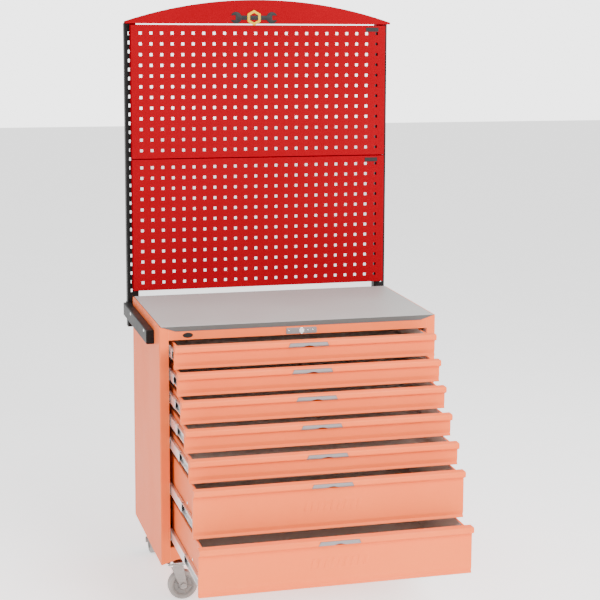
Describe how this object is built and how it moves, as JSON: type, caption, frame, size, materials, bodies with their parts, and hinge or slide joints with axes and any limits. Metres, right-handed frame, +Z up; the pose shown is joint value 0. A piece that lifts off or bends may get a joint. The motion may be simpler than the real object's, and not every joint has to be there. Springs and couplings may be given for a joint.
{
  "type": "workbench with drawers",
  "caption": "Wheeled workshop bench cabinet with sliding drawers, a stainless worktop, perforated tool panels on slotted uprights and an arched header.",
  "frame": {"origin": "middle of the footprint on the floor, with the drawers open as at rest", "axes": "+X to the right, -Y out of the drawer fronts, +Z up"},
  "size_m": [1.015, 1.1853, 2.0129],
  "materials": {
    "cabinet_paint": "semi-gloss powder coat, faded salmon red",
    "panel_paint": "satin powder coat, signal red",
    "black_paint": "satin black powder coat",
    "stainless": "brushed stainless sheet",
    "zinc_steel": "bright zinc plate",
    "black_steel": "black oxide",
    "latch_metal": "satin",
    "lock_face": "gloss white",
    "black_plastic": "gloss black",
    "wheel_rubber": "grey non-marking tread"
  },
  "bodies": {
    "cabinet": {"left_side_panel": "cabinet_paint", "right_side_panel": "cabinet_paint", "back_panel": "cabinet_paint", "base_pan": "cabinet_paint", "base_channels": "zinc_steel", "front_top_rail": "cabinet_paint", "top_braces": "zinc_steel", "worktop": "stainless", "slide_posts": "zinc_steel", "outer_rails": "zinc_steel", "lock_plate": "latch_metal", "front_badge": "black_plastic", "left_side_arm": "black_paint", "right_side_arm": "black_paint", "left_upright": "black_paint", "right_upright": "black_paint", "lower_pegboard": "panel_paint", "upper_pegboard": "panel_paint", "arched_header": "panel_paint", "panel_labels": "black_plastic", "frame_bolts": "black_steel", "swivel_plates": "zinc_steel", "rear_forks": "zinc_steel", "castor_bolts": "zinc_steel"},
    "drawer_1": {"drawer_1": "cabinet_paint", "drawer_1_rails": "zinc_steel"},
    "slide_1": {"slide_1_middle": "zinc_steel"},
    "latch_1": {"drawer_1_latch": "latch_metal"},
    "drawer_2": {"drawer_2": "cabinet_paint", "drawer_2_rails": "zinc_steel"},
    "slide_2": {"slide_2_middle": "zinc_steel"},
    "latch_2": {"drawer_2_latch": "latch_metal"},
    "drawer_3": {"drawer_3": "cabinet_paint", "drawer_3_rails": "zinc_steel"},
    "slide_3": {"slide_3_middle": "zinc_steel"},
    "latch_3": {"drawer_3_latch": "latch_metal"},
    "drawer_4": {"drawer_4": "cabinet_paint", "drawer_4_rails": "zinc_steel"},
    "slide_4": {"slide_4_middle": "zinc_steel"},
    "latch_4": {"drawer_4_latch": "latch_metal"},
    "drawer_5": {"drawer_5": "cabinet_paint", "drawer_5_rails": "zinc_steel"},
    "slide_5": {"slide_5_middle": "zinc_steel"},
    "latch_5": {"drawer_5_latch": "latch_metal"},
    "drawer_6": {"drawer_6": "cabinet_paint", "drawer_6_rails": "zinc_steel"},
    "slide_6": {"slide_6_middle": "zinc_steel"},
    "latch_6": {"drawer_6_latch": "latch_metal"},
    "drawer_7": {"drawer_7": "cabinet_paint", "drawer_7_rails": "zinc_steel"},
    "slide_7": {"slide_7_middle": "zinc_steel"},
    "latch_7": {"drawer_7_latch": "latch_metal"},
    "lock_barrel": {"lock_barrel": "lock_face"},
    "lock_bar": {"lock_bar": "zinc_steel"},
    "front_left_swivel": {"front_left_fork": "zinc_steel"},
    "front_left_wheel": {"front_left_wheel": "wheel_rubber"},
    "rear_left_wheel": {"rear_left_wheel": "wheel_rubber"},
    "front_right_swivel": {"front_right_fork": "zinc_steel"},
    "front_right_wheel": {"front_right_wheel": "wheel_rubber"},
    "rear_right_wheel": {"rear_right_wheel": "wheel_rubber"}
  },
  "joints": [
    {"name": "drawer_1_slide", "type": "slide", "parent": "cabinet", "child": "drawer_1", "axis": [0, -1, 0], "range_m": [-0.095, 0.435]},
    {"name": "slide_1_extension", "type": "slide", "parent": "cabinet", "child": "slide_1", "axis": [0, -1, 0], "range_m": [-0.0475, 0.2175]},
    {"name": "latch_1_lift", "type": "hinge", "parent": "drawer_1", "child": "latch_1", "pos_m": [0, -0.1885, 0.8975], "axis": [-1, 0, 0], "range_deg": [0, 10], "stiffness_Nm_per_rad": 0.25, "springref_deg": -5.73},
    {"name": "drawer_2_slide", "type": "slide", "parent": "cabinet", "child": "drawer_2", "axis": [0, -1, 0], "range_m": [-0.147, 0.383]},
    {"name": "slide_2_extension", "type": "slide", "parent": "cabinet", "child": "slide_2", "axis": [0, -1, 0], "range_m": [-0.0735, 0.1915]},
    {"name": "latch_2_lift", "type": "hinge", "parent": "drawer_2", "child": "latch_2", "pos_m": [0, -0.2405, 0.8195], "axis": [-1, 0, 0], "range_deg": [0, 10], "stiffness_Nm_per_rad": 0.25, "springref_deg": -5.73},
    {"name": "drawer_3_slide", "type": "slide", "parent": "cabinet", "child": "drawer_3", "axis": [0, -1, 0], "range_m": [-0.206, 0.324]},
    {"name": "slide_3_extension", "type": "slide", "parent": "cabinet", "child": "slide_3", "axis": [0, -1, 0], "range_m": [-0.103, 0.162]},
    {"name": "latch_3_lift", "type": "hinge", "parent": "drawer_3", "child": "latch_3", "pos_m": [0, -0.2995, 0.7415], "axis": [-1, 0, 0], "range_deg": [0, 10], "stiffness_Nm_per_rad": 0.25, "springref_deg": -5.73},
    {"name": "drawer_4_slide", "type": "slide", "parent": "cabinet", "child": "drawer_4", "axis": [0, -1, 0], "range_m": [-0.27, 0.26]},
    {"name": "slide_4_extension", "type": "slide", "parent": "cabinet", "child": "slide_4", "axis": [0, -1, 0], "range_m": [-0.135, 0.13]},
    {"name": "latch_4_lift", "type": "hinge", "parent": "drawer_4", "child": "latch_4", "pos_m": [0, -0.3635, 0.6635], "axis": [-1, 0, 0], "range_deg": [0, 10], "stiffness_Nm_per_rad": 0.25, "springref_deg": -5.73},
    {"name": "drawer_5_slide", "type": "slide", "parent": "cabinet", "child": "drawer_5", "axis": [0, -1, 0], "range_m": [-0.343, 0.187]},
    {"name": "slide_5_extension", "type": "slide", "parent": "cabinet", "child": "slide_5", "axis": [0, -1, 0], "range_m": [-0.1715, 0.0935]},
    {"name": "latch_5_lift", "type": "hinge", "parent": "drawer_5", "child": "latch_5", "pos_m": [0, -0.4365, 0.5855], "axis": [-1, 0, 0], "range_deg": [0, 10], "stiffness_Nm_per_rad": 0.25, "springref_deg": -5.73},
    {"name": "drawer_6_slide", "type": "slide", "parent": "cabinet", "child": "drawer_6", "axis": [0, -1, 0], "range_m": [-0.408, 0.122]},
    {"name": "slide_6_extension", "type": "slide", "parent": "cabinet", "child": "slide_6", "axis": [0, -1, 0], "range_m": [-0.204, 0.061]},
    {"name": "latch_6_lift", "type": "hinge", "parent": "drawer_6", "child": "latch_6", "pos_m": [0, -0.5015, 0.5075], "axis": [-1, 0, 0], "range_deg": [0, 10], "stiffness_Nm_per_rad": 0.25, "springref_deg": -5.73},
    {"name": "drawer_7_slide", "type": "slide", "parent": "cabinet", "child": "drawer_7", "axis": [0, -1, 0], "range_m": [-0.495, 0.035]},
    {"name": "slide_7_extension", "type": "slide", "parent": "cabinet", "child": "slide_7", "axis": [0, -1, 0], "range_m": [-0.2475, 0.0175]},
    {"name": "latch_7_lift", "type": "hinge", "parent": "drawer_7", "child": "latch_7", "pos_m": [0, -0.5885, 0.348], "axis": [-1, 0, 0], "range_deg": [0, 10], "stiffness_Nm_per_rad": 0.25, "springref_deg": -5.73},
    {"name": "lock_turn", "type": "hinge", "parent": "cabinet", "child": "lock_barrel", "pos_m": [0.003, -0.0775, 0.918], "axis": [0, 1, 0], "range_deg": [0, 90]},
    {"name": "lock_bar_drop", "type": "slide", "parent": "cabinet", "child": "lock_bar", "axis": [0, 0, -1], "range_m": [0, 0.01]},
    {"name": "front_left_swivel", "type": "hinge", "parent": "cabinet", "child": "front_left_swivel", "pos_m": [-0.42, -0.0335, 0.121], "axis": [0, 0, 1], "continuous": true},
    {"name": "front_left_roll", "type": "hinge", "parent": "front_left_swivel", "child": "front_left_wheel", "pos_m": [-0.4, -0.0335, 0.05], "axis": [0, 1, 0], "continuous": true},
    {"name": "rear_left_roll", "type": "hinge", "parent": "cabinet", "child": "rear_left_wheel", "pos_m": [-0.42, 0.4585, 0.05], "axis": [1, 0, 0], "continuous": true},
    {"name": "front_right_swivel", "type": "hinge", "parent": "cabinet", "child": "front_right_swivel", "pos_m": [0.42, -0.0335, 0.121], "axis": [0, 0, 1], "continuous": true},
    {"name": "front_right_roll", "type": "hinge", "parent": "front_right_swivel", "child": "front_right_wheel", "pos_m": [0.44, -0.0335, 0.05], "axis": [0, 1, 0], "continuous": true},
    {"name": "rear_right_roll", "type": "hinge", "parent": "cabinet", "child": "rear_right_wheel", "pos_m": [0.42, 0.4585, 0.05], "axis": [1, 0, 0], "continuous": true}
  ],
  "couplings": [
    {"joint": "slide_1_extension", "follows": "drawer_1_slide", "ratio": 0.5},
    {"joint": "slide_2_extension", "follows": "drawer_2_slide", "ratio": 0.5},
    {"joint": "slide_3_extension", "follows": "drawer_3_slide", "ratio": 0.5},
    {"joint": "slide_4_extension", "follows": "drawer_4_slide", "ratio": 0.5},
    {"joint": "slide_5_extension", "follows": "drawer_5_slide", "ratio": 0.5},
    {"joint": "slide_6_extension", "follows": "drawer_6_slide", "ratio": 0.5},
    {"joint": "slide_7_extension", "follows": "drawer_7_slide", "ratio": 0.5},
    {"joint": "lock_turn", "follows": "lock_bar_drop", "rad_per_m": 157.08}
  ]
}
